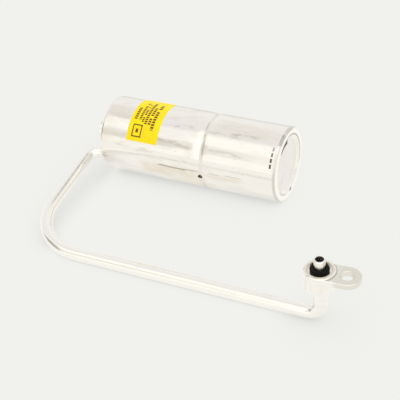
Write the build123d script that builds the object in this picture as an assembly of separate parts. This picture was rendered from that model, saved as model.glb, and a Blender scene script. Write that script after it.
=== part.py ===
from build123d import *
from math import cos, pi, radians, sin, tan
import os

# A welded aluminium receiver drier lying on its side, in millimetres.
# The can's axis is X: the base end faces +X and the ported end faces -X.
# The long tube runs in front of the can, on the -Y side, and +Z is up.
# The origin is on the can's axis, in the middle of the plain band that a clamp grips.

# The can
can_radius = 30.0
can_wall = 1.6
can_length = 152.0
end_wall = 3.4
clamp_centre_from_base = 31.0
seam_from_base = 60.3

base_x = clamp_centre_from_base
ports_x = base_x - can_length
base_inside_x = base_x - end_wall
ports_inside_x = ports_x + end_wall
bore_radius = can_radius - can_wall
floor_z = -can_radius

# How far cutting tools run past the faces they cut
cut_margin = 1.0

# How near an edge has to be to a place to count as lying there
touching = 0.01

# The base end
base_corner = 2.0
recess_radius = 23.0
recess_floor_radius = 20.6
recess_depth = 1.8
recess_round = 2.0

# The ported end
end_corner = 3.5
end_inner_round = 2.5

# The joggled weld seam
groove_width = 3.2
lip_length = 7.0
lip_drop = 0.8
step_edge = 0.15
neck_length = 10.7
neck_gap = 0.1
joggle_length = 3.6
weld_below_mouth = 0.95
weld_below_step = 0.3
weld_dip = 0.1
crater_radius = 1.9
crater_angle = -13.0
crater_lift = 0.4
crater_from_mouth = 0.3

step_x = base_x - seam_from_base
mouth_x = step_x - groove_width
neck_end_x = step_x - neck_length
neck_radius = bore_radius - neck_gap

# The long inlet tube
tube_od = 10.0
tube_wall = 1.2
inlet_from_rim = 9.6
inlet_angle = -31.5
inlet_inside = 6.0
stub_reach = 15.5
tight_bend = 10.0
wide_bend = 45.0
run_y = -126.0
upright_x = 101.9
hole_gap = 0.1
inlet_braze_leg = 1.1

tube_radius = tube_od / 2
tube_bore = tube_radius - tube_wall
inlet_offset_y = -(can_radius - inlet_from_rim) * cos(radians(inlet_angle))
inlet_offset_z = (can_radius - inlet_from_rim) * sin(radians(inlet_angle))
run_z = floor_z + tube_radius
side_x = ports_x - stub_reach

# The pad connector on the tube's end
pad_height = 45.5
boss_radius = 11.0
boss_length = 15.5
boss_chamfer = 1.5
boss_edge = 0.6
seat_radius = 8.3
seat_depth = 1.2
ear_reach = 19.0
ear_turn = 3.0
ear_width = 19.2
ear_thickness = 4.4
ear_below_top = 1.2
ear_edge = 0.5
ear_blend = 3.0
bolt_hole_radius = 4.3
bolt_hole_edge = 0.4
spigot_radius = 4.1
spigot_height = 9.7
gland_radius = 3.8
gland_length = 5.6
spigot_bore = 3.0
spigot_chamfer = 0.6
socket_depth = 6.0
pad_braze_leg = 1.2
o_ring_section = 3.0

boss_top_z = floor_z + pad_height
boss_bottom_z = boss_top_z - boss_length
seat_z = boss_top_z - seat_depth
spigot_top_z = seat_z + spigot_height
socket_top_z = boss_bottom_z + socket_depth
bolt_x = upright_x + ear_reach * cos(radians(ear_turn))
bolt_y = run_y + ear_reach * sin(radians(ear_turn))

# The outlet port on the can's axis
port_radius = 6.5
port_reach = 14.0
port_collar_radius = 10.0
port_collar_length = 3.0
port_shank_radius = 7.5
port_shank_inside = 4.0
port_bore = 4.0
port_chamfer = 0.8
pickup_seat_depth = 6.0
port_braze_leg = 1.2

port_tip_x = ports_x - port_reach
shank_end_x = ports_inside_x + port_shank_inside
pickup_top_x = shank_end_x - pickup_seat_depth

# The pickup tube and its strainer
pickup_radius = 5.0
pickup_wall = 1.0
pickup_above_base = 13.0
slip_gap = 0.05
cage_radius = 7.4
cage_wall = 1.2
cage_collar = 6.0
cage_rim = 1.5
cage_length = 15.0
window_count = 4
window_angle = 62.0
mesh_wall = 0.4

pickup_end_x = base_inside_x - pickup_above_base
cage_start_x = pickup_end_x - cage_collar
cage_end_x = cage_start_x + cage_length

# The desiccant stack, from the neck's end towards the ports
stack_gap = 0.25
plate_thickness = 1.2
pad_thickness = 5.0
bed_length = 36.0
tube_gap = 0.15
inner_hole_count = 5
inner_hole_circle = 11.5
outer_hole_count = 8
outer_hole_circle = 20.5
plate_hole_radius = 2.6

stack_radius = bore_radius - stack_gap
stack_hole = pickup_radius + tube_gap
lower_pad_x = neck_end_x - plate_thickness
bed_x = lower_pad_x - pad_thickness
upper_pad_x = bed_x - bed_length
upper_plate_x = upper_pad_x - pad_thickness
spring_end_x = upper_plate_x - plate_thickness

# The spring that holds the stack down
spring_radius = 11.0
spring_wire = 2.2
spring_turns = 3

# The label on the ported half
label_length = 26.8
label_from_ports = 24.5
label_thickness = 0.15
label_low_angle = 27.5
label_high_angle = 116.0

label_x = ports_x + label_from_ports


def turned(*edges):
    """A solid of revolution about the X axis, from the edges of a closed (x, radius) outline."""
    return revolve(make_face(Curve() + list(edges)), Axis.X)


def turned_outline(*points):
    """A solid of revolution about the X axis, from the corners of an (x, radius) outline."""
    return turned(Polyline(*points, close=True))


def ring(start_x, end_x, inner, outer):
    """A plain ring or sleeve on the X axis."""
    return turned_outline((start_x, inner), (start_x, outer), (end_x, outer), (end_x, inner))


def rod_along_x(start_x, end_x, radius, y=0.0, z=0.0):
    """A round bar parallel to X."""
    return Plane(origin=(start_x, y, z), z_dir=(1, 0, 0)) * extrude(Circle(radius), end_x - start_x)


def rod_along_z(x, y, start_z, end_z, radius):
    """A round bar parallel to Z."""
    return Pos(x, y, start_z) * extrude(Circle(radius), end_z - start_z)


def circles_at(solid, x, radius):
    """The round edges of a turned solid at one place along X, with one radius."""
    rims = solid.edges().filter_by(GeomType.CIRCLE)
    return rims.filter_by(lambda e: abs(e.center().X - x) < touching and abs(e.radius - radius) < touching)


def braze_fillet(leg, pipe_radius):
    """A concave fillet of braze round a pipe on Z, on the plane z = 0, rising to +Z."""
    foot = pipe_radius + leg
    section = Curve() + [
        Line((pipe_radius, 0), (foot, 0)),
        RadiusArc((foot, 0), (pipe_radius, leg), leg),
        Line((pipe_radius, leg), (pipe_radius, 0)),
    ]
    return revolve(Plane.XZ * make_face(section), Axis.Z)


def crater():
    """The small pit in the weld where the torch was lifted, below the can's front line."""
    distance = can_radius - weld_below_mouth + crater_lift
    angle = radians(crater_angle)
    centre_x = mouth_x + crater_from_mouth
    return Pos(centre_x, -distance * cos(angle), distance * sin(angle)) * Sphere(crater_radius)


def rear_shell():
    """The ported half of the can, whose mouth curves in towards the weld."""
    lip_x = mouth_x - lip_length
    shell = turned(
        Polyline((mouth_x, can_radius - lip_drop), (mouth_x, bore_radius), (ports_inside_x, bore_radius)),
        Polyline((ports_inside_x, bore_radius), (ports_inside_x, 0), (ports_x, 0)),
        Polyline((ports_x, 0), (ports_x, can_radius), (lip_x, can_radius)),
        TangentArc((lip_x, can_radius), (mouth_x, can_radius - lip_drop), tangent=(1, 0)),
    )
    shell = fillet(circles_at(shell, ports_x, can_radius), end_corner)
    shell = fillet(circles_at(shell, ports_inside_x, bore_radius), end_inner_round)
    through = (ports_x - cut_margin, ports_inside_x + cut_margin)
    shell -= rod_along_x(*through, port_shank_radius)
    shell -= rod_along_x(*through, tube_radius + hole_gap, inlet_offset_y, inlet_offset_z)
    return shell - crater()


def front_shell():
    """The base half of the can: a recessed base, and a neck that enters the other half."""
    neck_bore = neck_radius - can_wall
    neck_turn_x = step_x + can_wall
    shell = turned_outline(
        (base_x - recess_depth, 0),
        (base_x - recess_depth, recess_floor_radius),
        (base_x, recess_radius),
        (base_x, can_radius),
        (step_x, can_radius),
        (step_x, neck_radius),
        (neck_end_x, neck_radius),
        (neck_end_x, neck_bore),
        (neck_turn_x, neck_bore),
        (neck_turn_x + joggle_length, bore_radius),
        (base_inside_x, bore_radius),
        (base_inside_x, 0),
    )
    shell = fillet(circles_at(shell, base_x, can_radius), base_corner)
    recess_edges = circles_at(shell, base_x, recess_radius)
    recess_edges += circles_at(shell, base_x - recess_depth, recess_floor_radius)
    shell = fillet(recess_edges, recess_round)
    shell = fillet(circles_at(shell, step_x, can_radius), step_edge)
    shell = fillet(circles_at(shell, base_inside_x, bore_radius), end_inner_round)
    return shell - crater()


def seam_weld():
    """The weld bead in the groove: it lies low at the mouth and climbs to the base half."""
    at_mouth = can_radius - weld_below_mouth
    at_step = can_radius - weld_below_step
    middle = (mouth_x + groove_width / 2, (at_mouth + at_step) / 2 - weld_dip)
    bead = turned(
        ThreePointArc((mouth_x, at_mouth), middle, (step_x, at_step)),
        Polyline((step_x, at_step), (step_x, neck_radius), (mouth_x, neck_radius)),
        Line((mouth_x, neck_radius), (mouth_x, at_mouth)),
    )
    return bead - crater()


def bent_path(points, radii):
    """Straight runs joined by tangent arcs, one radius for each inner point."""
    corners = [Vector(*point) for point in points]
    edges = []
    start = corners[0]
    for before, corner, after, radius in zip(corners, corners[1:], corners[2:], radii):
        inward = (before - corner).normalized()
        outward = (after - corner).normalized()
        turn = radians(180 - inward.get_angle(outward))
        reach = radius * tan(turn / 2)
        arc_start = corner + inward * reach
        arc_end = corner + outward * reach
        centre = corner + (inward + outward).normalized() * (radius / cos(turn / 2))
        middle = centre + (corner - centre).normalized() * radius
        edges.append(Line(start, arc_start))
        edges.append(ThreePointArc(arc_start, middle, arc_end))
        start = arc_end
    edges.append(Line(start, corners[-1]))
    return Wire(edges)


def inlet_tube():
    """The long bent tube from the can's ported end to the pad connector."""
    path = bent_path(
        (
            (ports_inside_x + inlet_inside, inlet_offset_y, inlet_offset_z),
            (side_x, inlet_offset_y, inlet_offset_z),
            (side_x, run_y, run_z),
            (upright_x, run_y, run_z),
            (upright_x, run_y, socket_top_z),
        ),
        (tight_bend, wide_bend, tight_bend),
    )
    start = Plane(path.position_at(0), z_dir=path.tangent_at(0))
    outside = sweep(start * Circle(tube_radius), path)
    inside = sweep(start * Circle(tube_bore), path)
    tube = outside - inside
    section = pi * (tube_radius**2 - tube_bore**2)
    print("inlet tube volume", round(tube.volume), "section times length", round(section * path.length))
    return tube


def inlet_braze():
    """The braze fillet where the tube enters the can."""
    place = Plane(origin=(ports_x, inlet_offset_y, inlet_offset_z), z_dir=(-1, 0, 0))
    return place * braze_fillet(inlet_braze_leg, tube_radius)


def connector_pad():
    """The pad fitting: a round boss with a spigot, a seal seat and a bolt ear, in one piece."""
    boss = Pos(upright_x, run_y, boss_bottom_z) * extrude(Circle(boss_radius), boss_length)
    ear_top_z = boss_top_z - ear_below_top
    ear_outline = Rectangle(ear_reach, ear_width, align=(Align.MIN, Align.CENTER))
    ear_outline += Pos(ear_reach, 0) * Circle(ear_width / 2)
    ear = Pos(upright_x, run_y, ear_top_z - ear_thickness) * Rot(0, 0, ear_turn) * extrude(ear_outline, ear_thickness)
    ear_rim = (ear.faces().sort_by(Axis.Z)[-1].edges() + ear.faces().sort_by(Axis.Z)[0].edges()).filter_by(
        lambda e: e.center().X > upright_x + touching
    )
    ear = chamfer(ear_rim, ear_edge)
    pad = boss + ear
    beside_boss = pad.edges().filter_by(Axis.Z).filter_by(
        lambda e: abs(Vector(e.center().X - upright_x, e.center().Y - run_y, 0).length - boss_radius) < touching
    )
    pad = fillet(beside_boss.filter_by(lambda e: e.center().X > upright_x), ear_blend)
    for end, size in ((-1, boss_edge), (0, boss_chamfer)):
        rims = pad.edges().filter_by(GeomType.CIRCLE)
        boss_rims = rims.filter_by(lambda e: abs(e.radius - boss_radius) < touching)
        pad = chamfer(boss_rims.sort_by(Axis.Z)[end], size)
    pad -= rod_along_z(upright_x, run_y, seat_z, boss_top_z + cut_margin, seat_radius)
    spigot = rod_along_z(upright_x, run_y, seat_z + gland_length, spigot_top_z, spigot_radius)
    tip = spigot.edges().filter_by(GeomType.CIRCLE).sort_by(Axis.Z)[-1]
    pad += rod_along_z(upright_x, run_y, seat_z, seat_z + gland_length, gland_radius)
    pad += chamfer(tip, spigot_chamfer)
    below_z = boss_bottom_z - cut_margin
    pad -= rod_along_z(upright_x, run_y, below_z, spigot_top_z + cut_margin, spigot_bore)
    pad -= rod_along_z(upright_x, run_y, below_z, socket_top_z, tube_radius + hole_gap)
    pad -= rod_along_z(bolt_x, bolt_y, below_z, boss_top_z, bolt_hole_radius)
    hole_rims = pad.edges().filter_by(GeomType.CIRCLE).filter_by(
        lambda e: abs(e.radius - bolt_hole_radius) < touching and e.center().X > upright_x + boss_radius
    )
    return chamfer(hole_rims, bolt_hole_edge)


def connector_braze():
    """The braze fillet where the tube enters the pad."""
    return Pos(upright_x, run_y, boss_bottom_z) * Rot(180, 0, 0) * braze_fillet(pad_braze_leg, tube_radius)


def o_ring():
    """The rubber ring that sits in the pad's seat, round the spigot."""
    section_radius = o_ring_section / 2
    centre = Pos(upright_x, run_y, seat_z + section_radius)
    return centre * Torus(gland_radius + section_radius, section_radius)


def label():
    """The label wrapped over the ported half."""
    blank = Polyline(
        (label_x, can_radius),
        (label_x, can_radius + label_thickness),
        (label_x + label_length, can_radius + label_thickness),
        (label_x + label_length, can_radius),
        close=True,
    )
    wrap = revolve(make_face(blank), Axis.X, label_high_angle - label_low_angle)
    return Rot(180 - label_high_angle, 0, 0) * wrap


def outlet_port():
    """The short turned port on the can's axis, bored for the pickup tube on its inner side."""
    port = turned_outline(
        (port_tip_x, port_bore),
        (port_tip_x, port_radius - port_chamfer),
        (port_tip_x + port_chamfer, port_radius),
        (ports_x - port_collar_length, port_radius),
        (ports_x - port_collar_length, port_collar_radius),
        (ports_x, port_collar_radius),
        (ports_x, port_shank_radius),
        (shank_end_x, port_shank_radius),
        (shank_end_x, pickup_radius + slip_gap),
        (pickup_top_x, pickup_radius + slip_gap),
        (pickup_top_x, port_bore),
    )
    return port


def outlet_braze():
    """The braze fillet round the port's collar."""
    place = Plane(origin=(ports_x, 0, 0), z_dir=(-1, 0, 0))
    return place * braze_fillet(port_braze_leg, port_collar_radius)


def pickup_tube():
    """The straight tube that lifts liquid from the base to the outlet port."""
    return ring(pickup_top_x, pickup_end_x, pickup_radius - pickup_wall, pickup_radius)


def strainer_cage():
    """The moulded cage on the pickup tube's end, with windows for the mesh."""
    inside = cage_radius - cage_wall
    cage = turned_outline(
        (cage_start_x, pickup_radius + slip_gap),
        (cage_start_x, cage_radius),
        (cage_end_x, cage_radius),
        (cage_end_x, 0),
        (cage_end_x - cage_rim, 0),
        (cage_end_x - cage_rim, inside),
        (pickup_end_x + cage_rim, inside),
        (pickup_end_x + cage_rim, pickup_radius - pickup_wall),
        (pickup_end_x, pickup_radius - pickup_wall),
        (pickup_end_x, pickup_radius + slip_gap),
    )
    window_start = pickup_end_x + 2 * cage_rim
    window_end = cage_end_x - 2 * cage_rim
    window = revolve(
        make_face(
            Polyline(
                (window_start, inside - cut_margin),
                (window_start, cage_radius + cut_margin),
                (window_end, cage_radius + cut_margin),
                (window_end, inside - cut_margin),
                close=True,
            )
        ),
        Axis.X,
        window_angle,
    )
    for number in range(window_count):
        cage -= Rot(number * 360 / window_count, 0, 0) * window
    return cage


def strainer_mesh():
    """The fine screen inside the cage."""
    outside = cage_radius - cage_wall
    return ring(pickup_end_x + cage_rim, cage_end_x - cage_rim, outside - mesh_wall, outside)


def perforated_plate(face_x):
    """A plate of the stack, from face_x towards the ports, with two rings of holes."""
    plate = ring(face_x - plate_thickness, face_x, stack_hole, stack_radius)
    circles = ((inner_hole_count, inner_hole_circle), (outer_hole_count, outer_hole_circle))
    for count, circle_radius in circles:
        for number in range(count):
            angle = radians(number * 360 / count)
            plate -= rod_along_x(
                face_x - plate_thickness - cut_margin,
                face_x + cut_margin,
                plate_hole_radius,
                circle_radius * cos(angle),
                circle_radius * sin(angle),
            )
    return plate


def filter_pad(face_x):
    """A felt ring of the stack, from face_x towards the ports."""
    return ring(face_x - pad_thickness, face_x, stack_hole, stack_radius)


def desiccant_bed():
    """The bed of beads between the felt rings, as one solid."""
    return ring(upper_pad_x, bed_x, stack_hole, stack_radius)


def bed_spring():
    """The square-wire coil spring between the end wall and the upper plate, with ground ends."""
    length = spring_end_x - ports_inside_x
    pitch = length / spring_turns
    extra = spring_wire
    helix = Helix(pitch, length + 2 * extra, spring_radius, center=(0, 0, -extra))
    start = Plane(origin=helix @ 0, x_dir=(1, 0, 0), z_dir=helix % 0)
    wire = sweep(start * Rectangle(spring_wire, spring_wire), helix, is_frenet=True)
    ground = wire & Pos(0, 0, length / 2) * Cylinder(spring_radius + spring_wire, length)
    return Plane(origin=(ports_inside_x, 0, 0), z_dir=(1, 0, 0)) * ground


nodes = {
    "rear_shell": rear_shell(),
    "front_shell": front_shell(),
    "seam_weld": seam_weld(),
    "label": label(),
    "inlet_tube": inlet_tube(),
    "inlet_braze": inlet_braze(),
    "connector_pad": connector_pad(),
    "connector_braze": connector_braze(),
    "o_ring": o_ring(),
    "outlet_port": outlet_port(),
    "outlet_braze": outlet_braze(),
    "pickup_tube": pickup_tube(),
    "strainer_cage": strainer_cage(),
    "strainer_mesh": strainer_mesh(),
    "lower_plate": perforated_plate(neck_end_x),
    "lower_filter_pad": filter_pad(lower_pad_x),
    "desiccant_bed": desiccant_bed(),
    "upper_filter_pad": filter_pad(upper_pad_x),
    "upper_plate": perforated_plate(upper_plate_x),
    "bed_spring": bed_spring(),
}

os.makedirs("parts", exist_ok=True)
for name, solid in nodes.items():
    export_step(solid, f"parts/{name}.step")
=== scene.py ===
import bpy
import math
from mathutils import Matrix, Vector


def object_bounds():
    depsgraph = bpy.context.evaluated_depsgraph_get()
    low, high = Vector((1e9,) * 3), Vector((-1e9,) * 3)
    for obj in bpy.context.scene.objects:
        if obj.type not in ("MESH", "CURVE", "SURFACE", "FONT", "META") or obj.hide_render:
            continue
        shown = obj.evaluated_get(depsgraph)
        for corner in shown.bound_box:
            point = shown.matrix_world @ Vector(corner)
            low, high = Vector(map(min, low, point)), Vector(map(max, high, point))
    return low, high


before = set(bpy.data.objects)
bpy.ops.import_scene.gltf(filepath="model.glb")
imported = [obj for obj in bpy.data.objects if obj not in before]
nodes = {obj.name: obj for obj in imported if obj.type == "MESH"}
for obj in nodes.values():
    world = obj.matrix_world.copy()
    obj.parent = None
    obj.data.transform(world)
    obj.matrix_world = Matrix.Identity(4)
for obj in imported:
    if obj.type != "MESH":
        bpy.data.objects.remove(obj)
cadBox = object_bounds()
mm = 0.001
print("frame loaded:", len(nodes), "pieces")


# camera

camera = {
    "turn": 28.10,          # degrees round from the front, towards the base end
    "height": 36.61,        # degrees above the floor
    "roll": -5.57,
    "distance": 874.75 * mm,
    "lens": 99.0,
    "target": (-34.42 * mm, -28.39 * mm, -30.0 * mm),
}


def makeCamera():
    turn, height, roll = (math.radians(camera[k]) for k in ("turn", "height", "roll"))
    back = Vector((math.sin(turn) * math.cos(height), -math.cos(turn) * math.cos(height), math.sin(height)))
    side = Vector((math.cos(turn), math.sin(turn), 0))
    up = back.cross(side)
    sideRolled = side * math.cos(roll) + up * math.sin(roll)
    upRolled = up * math.cos(roll) - side * math.sin(roll)
    data = bpy.data.cameras.new("shotCamera")
    data.sensor_width = 36
    data.lens = camera["lens"]
    data.clip_start, data.clip_end = 0.01, 50
    shot = bpy.data.objects.new("shotCamera", data)
    bpy.context.scene.collection.objects.link(shot)
    place = Matrix((sideRolled, upRolled, back)).transposed().to_4x4()
    place.translation = Vector(camera["target"]) + back * camera["distance"]
    shot.matrix_world = place
    bpy.context.scene.camera = shot


makeCamera()
print("camera placed")


# node helpers

def addNode(tree, kind, **values):
    node = tree.nodes.new(kind)
    for key, value in values.items():
        setattr(node, key, value)
    return node


def feed(tree, socket, value):
    if isinstance(value, bpy.types.NodeSocket):
        tree.links.new(value, socket)
    elif value is not None:
        socket.default_value = value


def calc(tree, operation, a, b=None, c=None, clamp=False):
    node = addNode(tree, "ShaderNodeMath", operation=operation, use_clamp=clamp)
    for socket, value in zip(node.inputs, (a, b, c)):
        feed(tree, socket, value)
    return node.outputs[0]


def vectorCalc(tree, operation, a, b=None):
    node = addNode(tree, "ShaderNodeVectorMath", operation=operation)
    feed(tree, node.inputs[0], a)
    feed(tree, node.inputs[1], b)
    return node.outputs[0]


def remap(tree, value, low, high, newLow=0.0, newHigh=1.0):
    node = addNode(tree, "ShaderNodeMapRange", interpolation_type="SMOOTHSTEP")
    for socket, given in zip(node.inputs, (value, low, high, newLow, newHigh)):
        feed(tree, socket, given)
    return node.outputs[0]


def mixColour(tree, amount, a, b, blend="MIX"):
    node = addNode(tree, "ShaderNodeMix", data_type="RGBA", blend_type=blend)
    feed(tree, node.inputs[0], amount)
    feed(tree, node.inputs[6], a)
    feed(tree, node.inputs[7], b)
    return node.outputs[2]


def noiseAt(tree, place, scale, detail=3.0, roughness=0.5, distortion=0.0):
    node = addNode(tree, "ShaderNodeTexNoise")
    feed(tree, node.inputs["Vector"], place)
    for key, value in (("Scale", scale), ("Detail", detail), ("Roughness", roughness), ("Distortion", distortion)):
        feed(tree, node.inputs[key], value)
    return node.outputs[0]


def objectPlace(tree):
    return addNode(tree, "ShaderNodeTexCoord").outputs["Object"]


def newGroup(name, inputs, outputs):
    tree = bpy.data.node_groups.new(name, "ShaderNodeTree")
    for label, kind, value in inputs:
        socket = tree.interface.new_socket(label, in_out="INPUT", socket_type=kind)
        if value is not None:
            socket.default_value = value
    for label, kind in outputs:
        tree.interface.new_socket(label, in_out="OUTPUT", socket_type=kind)
    return tree, tree.nodes.new("NodeGroupInput").outputs, tree.nodes.new("NodeGroupOutput").inputs


def place(tree, group, **values):
    node = addNode(tree, "ShaderNodeGroup", node_tree=group)
    for key, value in values.items():
        feed(tree, node.inputs[key.replace("_", " ")], value)
    return node.outputs


number, vector = "NodeSocketFloat", "NodeSocketVector"


# shader groups

def makeRoundTheCan():
    tree, given, result = newGroup(
        "roundTheCan", [("Place", vector, None)],
        [("Along", number), ("Turn", number), ("Radius", number)])
    split = addNode(tree, "ShaderNodeSeparateXYZ")
    tree.links.new(given["Place"], split.inputs[0])
    x, y, z = split.outputs
    turn = calc(tree, "ARCTAN2", z, calc(tree, "MULTIPLY", y, -1.0))
    feed(tree, result["Along"], calc(tree, "MULTIPLY", x, 1000.0))
    feed(tree, result["Turn"], calc(tree, "DEGREES", turn))
    across = calc(tree, "ADD", calc(tree, "MULTIPLY", y, y), calc(tree, "MULTIPLY", z, z))
    feed(tree, result["Radius"], calc(tree, "MULTIPLY", calc(tree, "SQRT", across), 1000.0))
    return tree


def makeWindow():
    tree, given, result = newGroup(
        "window", [("Value", number, 0.0), ("From", number, 0.0), ("To", number, 1.0), ("Soft", number, 0.1)],
        [("Mask", number)])
    softness = given["Soft"]
    rise = remap(tree, given["Value"], calc(tree, "SUBTRACT", given["From"], softness),
                 calc(tree, "ADD", given["From"], softness))
    fall = remap(tree, given["Value"], calc(tree, "SUBTRACT", given["To"], softness),
                 calc(tree, "ADD", given["To"], softness), 1.0, 0.0)
    feed(tree, result["Mask"], calc(tree, "MULTIPLY", rise, fall))
    return tree


def makeDrawnLines():
    tree, given, result = newGroup(
        "drawnLines",
        [("Place", vector, None), ("Length", number, 40.0), ("Density", number, 900.0), ("Wave", number, 60.0)],
        [("Fine", number), ("Broad", number), ("Height", number)])
    squeeze = addNode(tree, "ShaderNodeCombineXYZ")
    feed(tree, squeeze.inputs[0], calc(tree, "DIVIDE", 1.0, given["Length"]))
    squeeze.inputs[1].default_value = squeeze.inputs[2].default_value = 1.0
    stretched = vectorCalc(tree, "MULTIPLY", given["Place"], squeeze.outputs[0])
    fine = noiseAt(tree, stretched, given["Density"], 4.0, 0.65)
    broad = noiseAt(tree, stretched, calc(tree, "DIVIDE", given["Density"], 5.0), 3.0, 0.55)
    wave = noiseAt(tree, given["Place"], given["Wave"], 2.0, 0.45)
    feed(tree, result["Fine"], remap(tree, fine, 0.32, 0.68))
    feed(tree, result["Broad"], remap(tree, broad, 0.35, 0.65))
    feed(tree, result["Height"], calc(tree, "ADD", calc(tree, "MULTIPLY", fine, 0.12), wave))
    return tree


def makeMottle():
    tree, given, result = newGroup(
        "mottle",
        [("Place", vector, None), ("Size", number, 180.0), ("Stretch", number, 4.0), ("Low", number, 0.45),
         ("High", number, 0.62)],
        [("Mask", number)])
    squeeze = addNode(tree, "ShaderNodeCombineXYZ")
    feed(tree, squeeze.inputs[0], calc(tree, "DIVIDE", 1.0, given["Stretch"]))
    squeeze.inputs[1].default_value = squeeze.inputs[2].default_value = 1.0
    stretched = vectorCalc(tree, "MULTIPLY", given["Place"], squeeze.outputs[0])
    cloud = noiseAt(tree, stretched, given["Size"], 5.0, 0.62, 0.6)
    feed(tree, result["Mask"], remap(tree, cloud, given["Low"], given["High"]))
    return tree


def makeHandling():
    tree, given, result = newGroup(
        "handling", [("Place", vector, None), ("Scratch", number, 220.0), ("Speck", number, 700.0)],
        [("Scratches", number), ("Specks", number)])
    bent = vectorCalc(tree, "ADD", given["Place"], noiseColour(tree, given["Place"], 40.0))
    lines = addNode(tree, "ShaderNodeTexVoronoi", feature="DISTANCE_TO_EDGE")
    feed(tree, lines.inputs["Vector"], bent)
    feed(tree, lines.inputs["Scale"], given["Scratch"])
    broken = remap(tree, noiseAt(tree, given["Place"], 150.0), 0.56, 0.66)
    thin = remap(tree, lines.outputs["Distance"], 0.0, 0.035, 1.0, 0.0)
    feed(tree, result["Scratches"], calc(tree, "MULTIPLY", thin, broken))
    dots = addNode(tree, "ShaderNodeTexVoronoi", feature="F1")
    feed(tree, dots.inputs["Vector"], given["Place"])
    feed(tree, dots.inputs["Scale"], given["Speck"])
    few = addNode(tree, "ShaderNodeSeparateColor")
    tree.links.new(dots.outputs["Color"], few.inputs[0])
    chosen = calc(tree, "GREATER_THAN", few.outputs[0], 0.94)
    feed(tree, result["Specks"], calc(tree, "MULTIPLY", remap(tree, dots.outputs["Distance"], 0.10, 0.26, 1.0, 0.0), chosen))
    return tree


def noiseColour(tree, where, scale):
    node = addNode(tree, "ShaderNodeTexNoise")
    feed(tree, node.inputs["Vector"], where)
    node.inputs["Scale"].default_value = scale
    shrink = vectorCalc(tree, "MULTIPLY", node.outputs["Color"], (0.012, 0.012, 0.012))
    return shrink


def makePrintRow():
    tree, given, result = newGroup(
        "printRow",
        [("Along", number, 0.0), ("Turn", number, 0.0), ("Middle", number, 0.0), ("Height", number, 2.0),
         ("From", number, 0.0), ("To", number, 10.0), ("Pitch", number, 2.0), ("Fill", number, 0.6)],
        [("Mask", number)])
    half = calc(tree, "MULTIPLY", given["Height"], 0.5)
    across = place(tree, windowGroup, Value=given["Along"], From=calc(tree, "SUBTRACT", given["Middle"], half),
                   To=calc(tree, "ADD", given["Middle"], half), Soft=0.12)["Mask"]
    length = place(tree, windowGroup, Value=given["Turn"], From=given["From"], To=given["To"], Soft=0.3)["Mask"]
    steps = calc(tree, "DIVIDE", given["Turn"], given["Pitch"])
    cell = addNode(tree, "ShaderNodeTexWhiteNoise", noise_dimensions="2D")
    join = addNode(tree, "ShaderNodeCombineXYZ")
    feed(tree, join.inputs[0], calc(tree, "FLOOR", steps))
    feed(tree, join.inputs[1], given["Middle"])
    tree.links.new(join.outputs[0], cell.inputs["Vector"])
    inked = calc(tree, "LESS_THAN", cell.outputs["Value"], given["Fill"])
    inked = calc(tree, "MULTIPLY", inked, calc(tree, "LESS_THAN", calc(tree, "FRACT", steps), 0.72))
    feed(tree, result["Mask"], calc(tree, "MULTIPLY", calc(tree, "MULTIPLY", across, length), inked))
    return tree


def makeTurnedRings():
    tree, given, result = newGroup(
        "turnedRings", [("Radius", number, 0.0), ("Pitch", number, 0.25), ("Place", vector, None)],
        [("Height", number), ("Sheen", number)])
    steps = calc(tree, "DIVIDE", given["Radius"], given["Pitch"])
    wave = calc(tree, "SINE", calc(tree, "MULTIPLY", steps, 6.2832))
    slow = noiseAt(tree, given["Place"], 220.0, 2.0, 0.4)
    feed(tree, result["Height"], calc(tree, "MULTIPLY_ADD", wave, 0.04, slow))
    feed(tree, result["Sheen"], remap(tree, noiseAt(tree, given["Place"], 260.0, 4.0, 0.6), 0.35, 0.7))
    return tree


roundTheCan = makeRoundTheCan()
windowGroup = makeWindow()
drawnLines = makeDrawnLines()
mottle = makeMottle()
handling = makeHandling()
printRow = makePrintRow()
turnedRings = makeTurnedRings()
print("shader groups made")


# materials

def newMaterial(name, **values):
    material = bpy.data.materials.new(name)
    material.use_nodes = True
    tree = material.node_tree
    shader = tree.nodes["Principled BSDF"]
    for key, value in values.items():
        shader.inputs[key.replace("_", " ")].default_value = value
    return material, tree, shader


def bumpFrom(tree, shader, height, distance, strength=1.0):
    bump = addNode(tree, "ShaderNodeBump")
    bump.inputs["Strength"].default_value = strength
    bump.inputs["Distance"].default_value = distance
    feed(tree, bump.inputs["Height"], height)
    tree.links.new(bump.outputs[0], shader.inputs["Normal"])


def zone(tree, along, turn, x0, x1, a0, a1, softX=3.0, softA=3.0):
    inX = place(tree, windowGroup, Value=along, From=x0, To=x1, Soft=softX)["Mask"]
    inA = place(tree, windowGroup, Value=turn, From=a0, To=a1, Soft=softA)["Mask"]
    return calc(tree, "MULTIPLY", inX, inA)


def zonesOf(tree, along, turn, zones, softX, softA):
    return addUp(tree, [calc(tree, "MULTIPLY", zone(tree, along, turn, *z[:4], softX, softA), z[4]) for z in zones])


def craterMask(tree, where, inner, outer):
    reach = addNode(tree, "ShaderNodeVectorMath", operation="DISTANCE")
    tree.links.new(where, reach.inputs[0])
    reach.inputs[1].default_value = weld["crater"]
    return remap(tree, reach.outputs["Value"], inner * weld["craterReach"], outer * weld["craterReach"], 1.0, 0.0)


def addUp(tree, masks):
    total = masks[0]
    for mask in masks[1:]:
        total = calc(tree, "MAXIMUM", total, mask)
    return total


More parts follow.
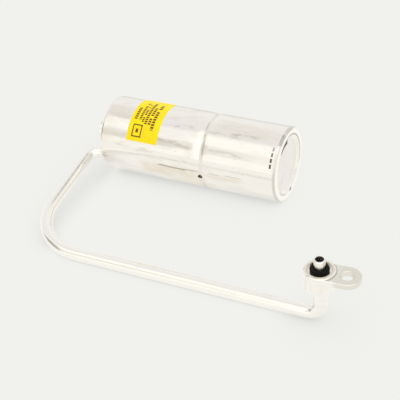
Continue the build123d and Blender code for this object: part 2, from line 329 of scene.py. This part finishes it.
weld = {
    "metal": (0.880, 0.865, 0.825, 1),
    # near black painted in the weld crater: painted shade in its hollow
    "craterShade": (0.050, 0.042, 0.030, 1),
    # colour of the painted shade in the seam groove
    "grooveShadeTint": (0.520, 0.440, 0.300, 1),
    "grooveShade": [              # painted shade in the seam groove: along in mm, turn in degrees, strength
        (-30.8, -27.0, 26, 50, 0.30), (-31.8, -30.2, 53, 58, 0.45), (-33.6, -31.6, 66, 82, 0.50)],
    "ripples": 130,                      # round the can
    "crater": Vector((-32.2, -29.2 * math.cos(math.radians(-13)), 29.2 * math.sin(math.radians(-13)))) * mm,
    "craterReach": 2.2 * mm,
}

shell = {
    "metal": (0.950, 0.938, 0.912, 1),
    "streak": (0.850, 0.825, 0.770, 1),
    # colour of real handling specks, also used for the painted dark reflection bands and lines
    "stainAndDarkReflection": (0.430, 0.395, 0.320, 1),
    # colour of the painted warm reflection of the floor and surroundings
    "tan": (0.800, 0.730, 0.610, 1),
    "ink": (0.020, 0.018, 0.016, 1),
    # colour of the painted dark arcs on the base end
    "arcShade": (0.030, 0.026, 0.020, 1),
    "roughness": 0.13,
    "darkReflectionZones": [          # painted dark reflection bands and shade, broken by mottle: along in mm, turn in degrees above the front, strength
        (-71, -53, 35, 40, 0.50), (-54, -40, 31, 36, 0.50), (-26, -4, 35, 39, 0.30), (-6, 12, 32, 36, 0.32),
        (-10, 13, 65, 69, 0.55), (-30, -2, 61, 65, 0.35), (-62, -42, 62, 67, 0.35), (-112, -98, 61, 64, 0.40),
        (-106, -98, 17, 24, 0.35), (-90, -72, 14, 20, 0.25), (-120, -114, -14, 0, 0.65)],
    # painted warm reflection zones: along in mm, turn in degrees, strength
    "tanZones": [
        (-84, -30, -26, -1, 0.60), (-28, 3, -11, -2, 0.50), (-2, 2, -13, -4, 0.45), (-62, -20, -54, -24, 0.50),
        (-121, -110, 18, 56, 0.45), (-24, 28, 63, 92, 0.30), (-121, -98, 62, 82, 0.30)],
    # painted grey reflection zones: along in mm, turn in degrees, strength
    "greyReflectionZones": [
        (4, 31, -52, -24, 0.55), (-104, -72, -52, -27, 0.60), (-121, -96, -26, -8, 0.30), (-74, -44, 43, 60, 0.45),
        (-94, -54, 24, 36, 0.50), (-12, 10, -38, -18, 0.40), (-113, -103, 41, 46, 0.55)],
    "recess": (0.860, 0.855, 0.860, 1),
    # painted highlight colour of the base end's flat rim
    "rimHighlight": (1.000, 0.995, 0.980, 1),
    # colour of the painted grey reflection
    "greyReflection": (0.770, 0.760, 0.765, 1),
    # colour of the painted shade lines on the base end's rounded edges
    "oliveShade": (0.300, 0.270, 0.190, 1),
    "rimArcs": [             # painted shade and dark reflection on the base end's rim: radius in mm, turn in degrees, strength
        (27.9, 30.2, 62, 84, 0.35), (23.4, 25.6, -98, -89, 0.90)],
    # painted shade and dark reflection on the recess floor beside its near wall
    "floorArcs": [(17.4, 20.8, 55, 100, 1.0), (20.6, 24.0, 55, 90, 1.0)],
    # painted shade and dark reflection lines on the base end's rounded edges: radius in mm, turn in degrees, strength
    "oliveShadeArcs": [
        (23.7, 25.0, 92, 190, 0.70), (23.7, 25.0, -190, -154, 0.70), (23.4, 25.0, -71, -34, 0.35),
        (27.5, 30.2, 86, 112, 0.35), (28.9, 30.2, -75, 52, 0.32), (28.1, 29.2, -190, -130, 0.25)],
    # painted dark reflection lines along the can, and painted shade beside the seam: along in mm, turn in degrees,
    # strength
    "reflectedLineZones": [
        (-68, -44, -4.6, -2.0, 0.85), (-46, -34, -2.6, -1.0, 0.75), (-24, -14, -2.2, -0.9, 0.5),
        (-11, 3, -0.6, 0.7, 0.5), (-30.5, -27.0, 27, 43, 0.35)],
}


def makeShellAluminium():
    material, tree, shader = newMaterial("shellAluminium", Metallic=1.0)
    where = objectPlace(tree)
    can = place(tree, roundTheCan, Place=where)
    along, turn, radius = can["Along"], can["Turn"], can["Radius"]
    lines = place(tree, drawnLines, Place=where, Length=40.0, Density=900.0, Wave=70.0)
    patchy = place(tree, mottle, Place=where, Size=260.0, Stretch=4.0, Low=0.42, High=0.60)["Mask"]
    allOver = place(tree, mottle, Place=where, Size=170.0, Stretch=3.5, Low=0.44, High=0.66)["Mask"]
    cloud = place(tree, mottle, Place=where, Size=110.0, Stretch=1.8, Low=0.34, High=0.58)["Mask"]
    wander = calc(tree, "MULTIPLY_ADD", noiseAt(tree, where, 75.0, 4.0, 0.6), 9.0, -4.5)
    wavy = calc(tree, "ADD", turn, wander)
    marks = place(tree, handling, Place=where, Scratch=200.0, Speck=420.0)
    colour = mixColour(tree, calc(tree, "MULTIPLY", lines["Fine"], 0.30), shell["metal"], shell["streak"])
    mottled = remap(tree, along, -45.0, -25.0, 0.75, 0.35)
    colour = mixColour(tree, calc(tree, "MULTIPLY", allOver, mottled), colour, shell["streak"])
    # painted reflection: warm tan zones, broken by cloud mottle
    tan = zonesOf(tree, along, wavy, shell["tanZones"], 6.0, 4.0)
    tan = calc(tree, "MULTIPLY", tan, calc(tree, "MULTIPLY_ADD", cloud, 0.75, 0.25))
    colour = mixColour(tree, tan, colour, shell["tan"])
    # painted reflection: grey zones
    greyReflection = zonesOf(tree, along, wavy, shell["greyReflectionZones"], 8.0, 5.0)
    colour = mixColour(tree, greyReflection, colour, shell["greyReflection"])
    # painted reflection: dark bands round the can at fixed turns, broken up by mottle
    darkReflections = zonesOf(tree, along, wavy, shell["darkReflectionZones"], 3.0, 2.0)
    darkReflections = calc(tree, "MULTIPLY", darkReflections, patchy)
    colour = mixColour(tree, darkReflections, colour, shell["stainAndDarkReflection"])
    # painted reflection: thin dark lines along the can, and painted shade beside the seam
    reflectedLines = zonesOf(tree, along, calc(tree, "MULTIPLY_ADD", wander, 0.35, turn), shell["reflectedLineZones"], 2.0, 0.6)
    reflectedLines = calc(tree, "MULTIPLY", reflectedLines, remap(tree, lines["Broad"], 0.0, 0.6, 0.4, 1.0))
    colour = mixColour(tree, reflectedLines, colour, shell["stainAndDarkReflection"])
    code = place(tree, printRow, Along=along, Turn=turn, Middle=26.4, Height=1.6, From=24.0, To=58.0, Pitch=8.6,
                 Fill=1.0)["Mask"]
    code = calc(tree, "MULTIPLY", code, remap(tree, turn, 36.0, 58.0, 0.92, 0.50))
    colour = mixColour(tree, code, colour, shell["ink"])
    colour = mixColour(tree, calc(tree, "MULTIPLY", marks["Specks"], 0.5), colour, shell["stainAndDarkReflection"])
    baseEnd = remap(tree, along, 28.7, 29.0)
    floorOfRecess = calc(tree, "MULTIPLY", baseEnd, remap(tree, radius, 20.2, 21.0, 1.0, 0.0))
    colour = mixColour(tree, calc(tree, "MULTIPLY", floorOfRecess, 0.35), colour, shell["recess"])
    # painted highlight: the flat rim of the base end made lighter
    flatRim = place(tree, windowGroup, Value=radius, From=24.8, To=28.5, Soft=0.4)["Mask"]
    colour = mixColour(tree, calc(tree, "MULTIPLY", baseEnd, flatRim), colour, shell["rimHighlight"])
    # painted shade: olive dark lines on the base end's edges
    oliveShade = calc(tree, "MULTIPLY", zonesOf(tree, radius, turn, shell["oliveShadeArcs"], 0.35, 8.0), baseEnd)
    colour = mixColour(tree, oliveShade, colour, shell["oliveShade"])
    # painted shade: near-black arcs on the base end's rim and recess floor
    arcs = calc(tree, "MULTIPLY", zonesOf(tree, radius, turn, shell["rimArcs"] + shell["floorArcs"], 0.35, 3.0), baseEnd)
    colour = mixColour(tree, arcs, colour, shell["arcShade"])
    # painted shade: the weld crater's hollow darkened
    craterShade = craterMask(tree, where, 0.75, 1.0)
    colour = mixColour(tree, craterShade, colour, weld["craterShade"])
    tree.links.new(colour, shader.inputs["Base Color"])
    rough = calc(tree, "MULTIPLY_ADD", lines["Broad"], 0.06, shell["roughness"])
    rough = calc(tree, "MULTIPLY_ADD", darkReflections, 0.18, rough)
    rough = calc(tree, "MULTIPLY_ADD", marks["Scratches"], 0.12, rough)
    rough = calc(tree, "MULTIPLY_ADD", code, 0.4, rough)
    rough = calc(tree, "MULTIPLY_ADD", floorOfRecess, 0.20, rough)
    tree.links.new(rough, shader.inputs["Roughness"])
    tree.links.new(calc(tree, "MULTIPLY_ADD", code, -1.0, 1.0), shader.inputs["Metallic"])
    bumpFrom(tree, shader, lines["Height"], 0.10 * mm, 1.0)
    return material


tube = {
    "metal": (0.970, 0.962, 0.940, 1),
    "streak": (0.900, 0.884, 0.845, 1),
    "roughness": 0.14,
}


def makeTubeAluminium():
    material, tree, shader = newMaterial("tubeAluminium", Metallic=1.0)
    where = objectPlace(tree)
    lines = place(tree, drawnLines, Place=where, Length=30.0, Density=1400.0, Wave=110.0)
    soft = place(tree, mottle, Place=where, Size=120.0, Stretch=3.0, Low=0.50, High=0.72)["Mask"]
    marks = place(tree, handling, Place=where, Scratch=300.0, Speck=500.0)
    colour = mixColour(tree, calc(tree, "MULTIPLY", lines["Fine"], 0.25), tube["metal"], tube["streak"])
    colour = mixColour(tree, calc(tree, "MULTIPLY", soft, 0.45), colour, tube["streak"])
    colour = mixColour(tree, calc(tree, "MULTIPLY", marks["Specks"], 0.5), colour, shell["stainAndDarkReflection"])
    tree.links.new(colour, shader.inputs["Base Color"])
    rough = calc(tree, "MULTIPLY_ADD", lines["Broad"], 0.08, tube["roughness"])
    rough = calc(tree, "MULTIPLY_ADD", marks["Scratches"], 0.15, rough)
    tree.links.new(rough, shader.inputs["Roughness"])
    bumpFrom(tree, shader, lines["Height"], 0.06 * mm)
    return material


def makeWeldAluminium():
    material, tree, shader = newMaterial("weldAluminium", Metallic=1.0)
    where = objectPlace(tree)
    grain = noiseAt(tree, where, 900.0, 4.0, 0.6)
    patch = noiseAt(tree, where, 160.0, 3.0, 0.6)
    colour = mixColour(tree, remap(tree, patch, 0.4, 0.7), weld["metal"], shell["streak"])
    can = place(tree, roundTheCan, Place=where)
    # painted shade: the seam groove darker at the listed turns
    grooveShade = zonesOf(tree, can["Along"], can["Turn"], weld["grooveShade"], 0.6, 3.0)
    colour = mixColour(tree, grooveShade, colour, weld["grooveShadeTint"])
    # painted shade: the weld crater's hollow darkened
    craterShade = craterMask(tree, where, 0.75, 1.0)
    colour = mixColour(tree, craterShade, colour, weld["craterShade"])
    tree.links.new(colour, shader.inputs["Base Color"])
    rough = calc(tree, "MULTIPLY_ADD", grain, 0.20, 0.14)
    tree.links.new(calc(tree, "MULTIPLY_ADD", craterShade, 0.4, rough), shader.inputs["Roughness"])
    steps = calc(tree, "MULTIPLY", can["Turn"], weld["ripples"] / 360.0)
    bowed = calc(tree, "ADD", steps, calc(tree, "MULTIPLY", remap(tree, can["Along"], -32.5, -29.3), 0.6))
    ripple = calc(tree, "ABSOLUTE", calc(tree, "SINE", calc(tree, "MULTIPLY", bowed, math.pi)))
    height = calc(tree, "MULTIPLY_ADD", grain, 0.4, patch)
    bumpFrom(tree, shader, calc(tree, "MULTIPLY_ADD", ripple, 0.5, height), 0.10 * mm)
    return material


machined = {
    "metal": (0.965, 0.955, 0.930, 1),
    "dull": (0.885, 0.868, 0.820, 1),
    # painted shade colour for upward faces and the ear
    "topAndEarShade": (0.760, 0.745, 0.680, 1),
    "seatEdge": (0.600, 0.480, 0.300, 1),
    "seatRing": (8.0, 9.1),   # radius in mm of the golden line round the seat
    # colour of the painted shade where the ear meets the boss
    "corner": (0.330, 0.310, 0.260, 1),
    "cornerShadeRing": (10.9, 11.8),   # radius in mm of the painted shade where the ear meets the boss
    "boss": (101.9 * mm, -126.0 * mm),
    "ringPitch": 0.28,
    "roughness": 0.20,
}


def makeMachinedAluminium():
    material, tree, shader = newMaterial("machinedAluminium", Metallic=1.0)
    where = objectPlace(tree)
    split = addNode(tree, "ShaderNodeSeparateXYZ")
    tree.links.new(where, split.inputs[0])
    dx = calc(tree, "SUBTRACT", split.outputs[0], machined["boss"][0])
    dy = calc(tree, "SUBTRACT", split.outputs[1], machined["boss"][1])
    away = calc(tree, "SQRT", calc(tree, "ADD", calc(tree, "MULTIPLY", dx, dx), calc(tree, "MULTIPLY", dy, dy)))
    rings = place(tree, turnedRings, Radius=calc(tree, "MULTIPLY", away, 1000.0), Pitch=machined["ringPitch"], Place=where)
    marks = place(tree, handling, Place=where, Scratch=350.0, Speck=900.0)
    colour = mixColour(tree, calc(tree, "MULTIPLY", rings["Sheen"], 0.35), machined["metal"], machined["dull"])
    colour = mixColour(tree, calc(tree, "MULTIPLY", marks["Specks"], 0.20), colour, shell["stainAndDarkReflection"])
    facing = addNode(tree, "ShaderNodeSeparateXYZ")
    tree.links.new(addNode(tree, "ShaderNodeNewGeometry").outputs["Normal"], facing.inputs[0])
    flatTop = remap(tree, facing.outputs[2], 0.93, 0.99)
    # painted shade: upward-facing faces darker
    colour = mixColour(tree, calc(tree, "MULTIPLY", flatTop, 0.75), colour, machined["topAndEarShade"])
    # painted shade: the ear darker all over
    ear = remap(tree, split.outputs[0], 112.0 * mm, 117.0 * mm)
    colour = mixColour(tree, calc(tree, "MULTIPLY", ear, 0.75), colour, machined["topAndEarShade"])
    away = calc(tree, "MULTIPLY", away, 1000.0)
    ringInner, ringOuter = machined["cornerShadeRing"]
    # painted shade: dark ring in the corner where the ear meets the boss
    cornerShade = place(tree, windowGroup, Value=away, From=ringInner, To=ringOuter, Soft=0.2)["Mask"]
    colour = mixColour(tree, calc(tree, "MULTIPLY", calc(tree, "MULTIPLY", cornerShade, flatTop), 0.6), colour, machined["corner"])
    ringInner, ringOuter = machined["seatRing"]
    golden = place(tree, windowGroup, Value=away, From=ringInner, To=ringOuter, Soft=0.15)["Mask"]
    golden = calc(tree, "MULTIPLY", golden, remap(tree, split.outputs[2], 15.0 * mm, 15.3 * mm))
    colour = mixColour(tree, calc(tree, "MULTIPLY", golden, 0.6), colour, machined["seatEdge"])
    tree.links.new(colour, shader.inputs["Base Color"])
    rough = calc(tree, "MULTIPLY_ADD", rings["Sheen"], 0.10, machined["roughness"])
    tree.links.new(rough, shader.inputs["Roughness"])
    bumpFrom(tree, shader, rings["Height"], 0.012 * mm)
    return material


label = {
    "film": (1.000, 0.780, 0.000, 1),
    "faded": (0.990, 0.720, 0.002, 1),
    "ink": (0.075, 0.030, 0.010, 1),
    "rows": [                # middle along the can in mm, height in mm, turn from and to in degrees, pitch, fill
        (-92.3, 2.6, 62.0, 86.0, 4.1, 0.97), (-88.4, 2.2, 62.0, 100.0, 3.4, 0.90), (-85.7, 1.9, 58.0, 96.0, 3.1, 0.80),
        (-82.9, 2.4, 56.0, 103.0, 3.7, 0.92), (-79.7, 2.4, 56.0, 90.0, 4.0, 0.90), (-76.3, 2.7, 48.0, 99.0, 4.6, 0.97)],
    "frameBox": (-92.4, -84.2, 34.0, 54.0),
    "frameLine": 1.0,
}


def makeLabelFilm():
    material, tree, shader = newMaterial("labelFilm", Specular_IOR_Level=0.3)
    where = objectPlace(tree)
    can = place(tree, roundTheCan, Place=where)
    along, turn = can["Along"], can["Turn"]
    soft = noiseAt(tree, where, 120.0, 3.0, 0.5)
    colour = mixColour(tree, remap(tree, soft, 0.35, 0.7), label["film"], label["faded"])
    masks = []
    for middle, height, low, high, pitch, fill in label["rows"]:
        masks.append(place(tree, printRow, Along=along, Turn=turn, Middle=middle, Height=height, From=low, To=high,
                           Pitch=pitch, Fill=fill)["Mask"])
    x0, x1, a0, a1 = label["frameBox"]
    line = label["frameLine"]
    outer = zone(tree, along, turn, x0, x1, a0, a1, 0.12, 0.25)
    inner = zone(tree, along, turn, x0 + line, x1 - line, a0 + 2 * line, a1 - 2 * line, 0.12, 0.25)
    block = zone(tree, along, turn, x0 + 3, x1 - 3, a0 + 7, a1 - 7, 0.12, 0.25)
    masks += [calc(tree, "SUBTRACT", outer, inner), block]
    ink = calc(tree, "MULTIPLY", addUp(tree, masks), 0.92)
    colour = mixColour(tree, ink, colour, label["ink"])
    tree.links.new(colour, shader.inputs["Base Color"])
    tree.links.new(calc(tree, "MULTIPLY_ADD", soft, 0.12, 0.36), shader.inputs["Roughness"])
    bumpFrom(tree, shader, noiseAt(tree, where, 240.0, 2.0, 0.5), 0.05 * mm)
    return material


def makeSealRubber():
    material, tree, shader = newMaterial("sealRubber", Specular_IOR_Level=0.12)
    where = objectPlace(tree)
    dust = remap(tree, noiseAt(tree, where, 900.0, 4.0, 0.65), 0.52, 0.75)
    tree.links.new(mixColour(tree, calc(tree, "MULTIPLY", dust, 0.3), (0.003, 0.003, 0.003, 1), (0.030, 0.028, 0.024, 1)),
                   shader.inputs["Base Color"])
    tree.links.new(calc(tree, "MULTIPLY_ADD", dust, 0.2, 0.48), shader.inputs["Roughness"])
    bumpFrom(tree, shader, noiseAt(tree, where, 2500.0, 2.0), 0.02 * mm)
    return material


def makeCagePlastic():
    material, tree, shader = newMaterial("cagePlastic", Subsurface_Weight=0.1)
    where = objectPlace(tree)
    cloud = noiseAt(tree, where, 300.0, 3.0)
    tree.links.new(mixColour(tree, cloud, (0.80, 0.79, 0.72, 1), (0.88, 0.87, 0.81, 1)), shader.inputs["Base Color"])
    tree.links.new(calc(tree, "MULTIPLY_ADD", cloud, 0.15, 0.38), shader.inputs["Roughness"])
    bumpFrom(tree, shader, noiseAt(tree, where, 1500.0, 2.0), 0.02 * mm)
    return material


def makeMeshScreen():
    material, tree, shader = newMaterial("meshScreen", Roughness=0.7)
    where = objectPlace(tree)
    split = addNode(tree, "ShaderNodeSeparateXYZ")
    tree.links.new(where, split.inputs[0])
    threads = [calc(tree, "SINE", calc(tree, "MULTIPLY", split.outputs[i], 12000.0)) for i in (0, 2)]
    weave = calc(tree, "MAXIMUM", *threads)
    tree.links.new(mixColour(tree, remap(tree, weave, 0.1, 0.8), (0.35, 0.35, 0.33, 1), (0.84, 0.84, 0.80, 1)),
                   shader.inputs["Base Color"])
    bumpFrom(tree, shader, weave, 0.08 * mm)
    return material


def makePlateSteel():
    material, tree, shader = newMaterial("plateSteel", Metallic=1.0)
    where = objectPlace(tree)
    grain = noiseAt(tree, where, 600.0, 4.0, 0.6)
    tree.links.new(mixColour(tree, grain, (0.50, 0.50, 0.49, 1), (0.68, 0.68, 0.66, 1)), shader.inputs["Base Color"])
    tree.links.new(calc(tree, "MULTIPLY_ADD", grain, 0.2, 0.25), shader.inputs["Roughness"])
    bumpFrom(tree, shader, grain, 0.04 * mm)
    return material


def makeFilterFelt():
    material, tree, shader = newMaterial("filterFelt", Roughness=0.95, Sheen_Weight=0.3)
    where = objectPlace(tree)
    fibre = noiseAt(tree, where, 1800.0, 6.0, 0.8, 1.5)
    tree.links.new(mixColour(tree, fibre, (0.74, 0.73, 0.68, 1), (0.93, 0.92, 0.88, 1)), shader.inputs["Base Color"])
    bumpFrom(tree, shader, fibre, 0.3 * mm)
    return material


def makeDesiccantBeads():
    material, tree, shader = newMaterial("desiccantBeads", Roughness=0.8)
    where = objectPlace(tree)
    beads = addNode(tree, "ShaderNodeTexVoronoi", feature="F1")
    feed(tree, beads.inputs["Vector"], where)
    beads.inputs["Scale"].default_value = 480.0
    # bead domes for the bump, and painted shade between beads: darker where they meet, lighter at their centres
    domeAndShade = remap(tree, beads.outputs["Distance"], 0.1, 0.75, 1.0, 0.0)
    tree.links.new(mixColour(tree, domeAndShade, (0.42, 0.37, 0.29, 1), (0.82, 0.76, 0.66, 1)), shader.inputs["Base Color"])
    bumpFrom(tree, shader, domeAndShade, 0.8 * mm)
    return material


def makeSpringSteel():
    material, tree, shader = newMaterial("springSteel", Metallic=1.0)
    where = objectPlace(tree)
    grain = noiseAt(tree, where, 900.0, 4.0, 0.6)
    tree.links.new(mixColour(tree, grain, (0.40, 0.40, 0.39, 1), (0.56, 0.56, 0.55, 1)), shader.inputs["Base Color"])
    tree.links.new(calc(tree, "MULTIPLY_ADD", grain, 0.2, 0.22), shader.inputs["Roughness"])
    bumpFrom(tree, shader, grain, 0.03 * mm)
    return material


shellAluminium = makeShellAluminium()
tubeAluminium = makeTubeAluminium()
weldAluminium = makeWeldAluminium()
machinedAluminium = makeMachinedAluminium()
plateSteel = makePlateSteel()
filterFelt = makeFilterFelt()
dress = {
    "rear_shell": shellAluminium, "front_shell": shellAluminium, "seam_weld": weldAluminium,
    "label": makeLabelFilm(), "inlet_tube": tubeAluminium, "inlet_braze": weldAluminium,
    "connector_pad": machinedAluminium, "connector_braze": weldAluminium, "o_ring": makeSealRubber(),
    "outlet_port": machinedAluminium, "outlet_braze": weldAluminium, "pickup_tube": tubeAluminium,
    "strainer_cage": makeCagePlastic(), "strainer_mesh": makeMeshScreen(), "lower_plate": plateSteel,
    "lower_filter_pad": filterFelt, "desiccant_bed": makeDesiccantBeads(), "upper_filter_pad": filterFelt,
    "upper_plate": plateSteel, "bed_spring": makeSpringSteel(),
}
for name, material in dress.items():
    piece = nodes[name]
    piece.data.materials.clear()
    piece.data.materials.append(material)
    for slot in piece.material_slots:
        slot.material = material
print("materials on", len(dress), "pieces")


# floor and light

studio = {
    "floor": (0.800, 0.805, 0.775, 1),
    "backdrop": (0.880, 0.886, 0.850, 1),
    "paperShown": 0.96,     # how much of the floor's own colour shows, the rest is its light and shadow
    "contactDepth": 0.46,   # how dark the shadow gets where the part touches the floor
    "contactFall": 5.5,
    "softDepth": 0.34,      # the wider shadow below the raised tube and the pad
    "softFall": 1.60,
    "ceiling": (0.925, 0.907, 0.880, 1),
    "behind": (0.985, 0.970, 0.945, 1),
    "panel": (1.140, 1.120, 1.060, 1),
    "nearGap": (0.890, 0.865, 0.795, 1),
    "sideGap": (0.480, 0.450, 0.390, 1),
    "darkPatch": (0.480, 0.455, 0.400, 1),
    "window": (1.240, 1.215, 1.150, 1),
    "front": (1.130, 1.105, 1.035, 1),
    "floorInMetal": (0.985, 0.967, 0.922, 1),
    "floorBehind": (0.760, 0.750, 0.725, 1),
    "skyLevel": 0.95,
    "lampPower": 3.0,
    "lampSize": 0.9,
    "lampPlace": (-0.35, 0.45, 1.10),
}


def makeFloor():
    mesh = bpy.data.meshes.new("floor")
    reach, level = 4.0, cadBox[0].z - 0.02 * mm
    mesh.from_pydata([(-reach, -reach, level), (reach, -reach, level), (reach, reach, level), (-reach, reach, level)],
                     [], [(0, 1, 2, 3)])
    floor = bpy.data.objects.new("floor", mesh)
    bpy.context.scene.collection.objects.link(floor)
    material, tree, shader = newMaterial("floorPaper", Base_Color=studio["floor"], Roughness=0.95, Specular_IOR_Level=0.0)
    shown = addNode(tree, "ShaderNodeEmission")
    ray = addNode(tree, "ShaderNodeLightPath")
    openness = addNode(tree, "ShaderNodeAmbientOcclusion", samples=16)
    openness.inputs["Distance"].default_value = 0.3
    hidden = calc(tree, "SUBTRACT", 1.0, openness.outputs["AO"])
    contact = calc(tree, "MULTIPLY", calc(tree, "POWER", hidden, studio["contactFall"]), studio["contactDepth"])
    split = addNode(tree, "ShaderNodeSeparateXYZ")
    tree.links.new(objectPlace(tree), split.inputs[0])
    mirrored = mixColour(tree, remap(tree, split.outputs[1], 0.09, 0.28), studio["floorInMetal"], studio["floorBehind"])
    tree.links.new(mixColour(tree, ray.outputs["Is Glossy Ray"], studio["backdrop"], mirrored), shown.inputs["Color"])
    besideCan = calc(tree, "ADD", remap(tree, split.outputs[0], -0.128, -0.112, 1.0, 0.0),
                     remap(tree, split.outputs[0], 0.06, 0.09))
    soft = calc(tree, "MULTIPLY", calc(tree, "POWER", hidden, studio["softFall"]), studio["softDepth"])
    shade = calc(tree, "MAXIMUM", contact, calc(tree, "MULTIPLY", soft, besideCan))
    tree.links.new(calc(tree, "SUBTRACT", 1.0, shade), shown.inputs["Strength"])
    looking = calc(tree, "MAXIMUM", ray.outputs["Is Camera Ray"], ray.outputs["Is Glossy Ray"])
    mix = addNode(tree, "ShaderNodeMixShader")
    tree.links.new(calc(tree, "MULTIPLY", looking, studio["paperShown"]), mix.inputs[0])
    tree.links.new(shader.outputs[0], mix.inputs[1])
    tree.links.new(shown.outputs[0], mix.inputs[2])
    tree.links.new(mix.outputs[0], tree.nodes["Material Output"].inputs["Surface"])
    mesh.materials.append(material)


def makeWorld():
    world = bpy.data.worlds.new("studioWorld")
    bpy.context.scene.world = world
    world.use_nodes = True
    tree = world.node_tree
    tree.nodes.clear()
    out = addNode(tree, "ShaderNodeOutputWorld")
    split = addNode(tree, "ShaderNodeSeparateXYZ")
    tree.links.new(addNode(tree, "ShaderNodeTexCoord").outputs["Generated"], split.inputs[0])
    x, y, z = split.outputs
    lifted = calc(tree, "MAXIMUM", z, 0.001)
    forward = calc(tree, "DIVIDE", calc(tree, "MULTIPLY", y, -1.0), lifted)   # 0 overhead, larger towards the front
    colour = mixColour(tree, remap(tree, forward, 0.14, 0.22), studio["ceiling"], studio["panel"])
    colour = mixColour(tree, remap(tree, forward, 1.6, 2.6), colour, studio["front"])
    level = place(tree, windowGroup, Value=forward, From=1.0, To=2.6, Soft=0.15)["Mask"]
    near = calc(tree, "MULTIPLY", level, remap(tree, x, -0.40, -0.28, 1.0, 0.0))
    side = calc(tree, "MULTIPLY", remap(tree, forward, 0.3, 0.45), remap(tree, x, -0.82, -0.71, 1.0, 0.0))
    colour = mixColour(tree, near, colour, studio["nearGap"])
    colour = mixColour(tree, side, colour, studio["sideGap"])
    toWindow = calc(tree, "MULTIPLY", remap(tree, x, -0.27, -0.14), remap(tree, forward, 0.0, 0.15))
    colour = mixColour(tree, toWindow, colour, studio["window"])
    colour = mixColour(tree, remap(tree, forward, -1.2, -0.3, 1.0, 0.0), colour, studio["behind"])
    toPatch = calc(tree, "MULTIPLY", place(tree, windowGroup, Value=x, From=0.04, To=0.42, Soft=0.08)["Mask"],
                   place(tree, windowGroup, Value=y, From=0.41, To=0.53, Soft=0.03)["Mask"])
    colour = mixColour(tree, toPatch, colour, studio["darkPatch"])
    light = addNode(tree, "ShaderNodeBackground")
    tree.links.new(colour, light.inputs["Color"])
    light.inputs["Strength"].default_value = studio["skyLevel"]
    seen = addNode(tree, "ShaderNodeBackground")
    seen.inputs["Color"].default_value = studio["backdrop"]
    seen.inputs["Strength"].default_value = 1.0
    ray = addNode(tree, "ShaderNodeLightPath")
    mix = addNode(tree, "ShaderNodeMixShader")
    tree.links.new(ray.outputs["Is Camera Ray"], mix.inputs[0])
    tree.links.new(light.outputs[0], mix.inputs[1])
    tree.links.new(seen.outputs[0], mix.inputs[2])
    tree.links.new(mix.outputs[0], out.inputs[0])


def makeLamp():
    data = bpy.data.lights.new("softLamp", "AREA")
    data.shape = "SQUARE"
    data.size = studio["lampSize"]
    data.energy = studio["lampPower"]
    lamp = bpy.data.objects.new("softLamp", data)
    bpy.context.scene.collection.objects.link(lamp)
    lamp.location = studio["lampPlace"]
    lamp.rotation_mode = "QUATERNION"
    lamp.rotation_quaternion = Vector(studio["lampPlace"]).to_track_quat("Z", "Y")
    lamp.visible_glossy = False


makeFloor()
makeWorld()
makeLamp()
bpy.context.scene.view_settings.view_transform = "Standard"
print("floor and light made")

print("scene finished")
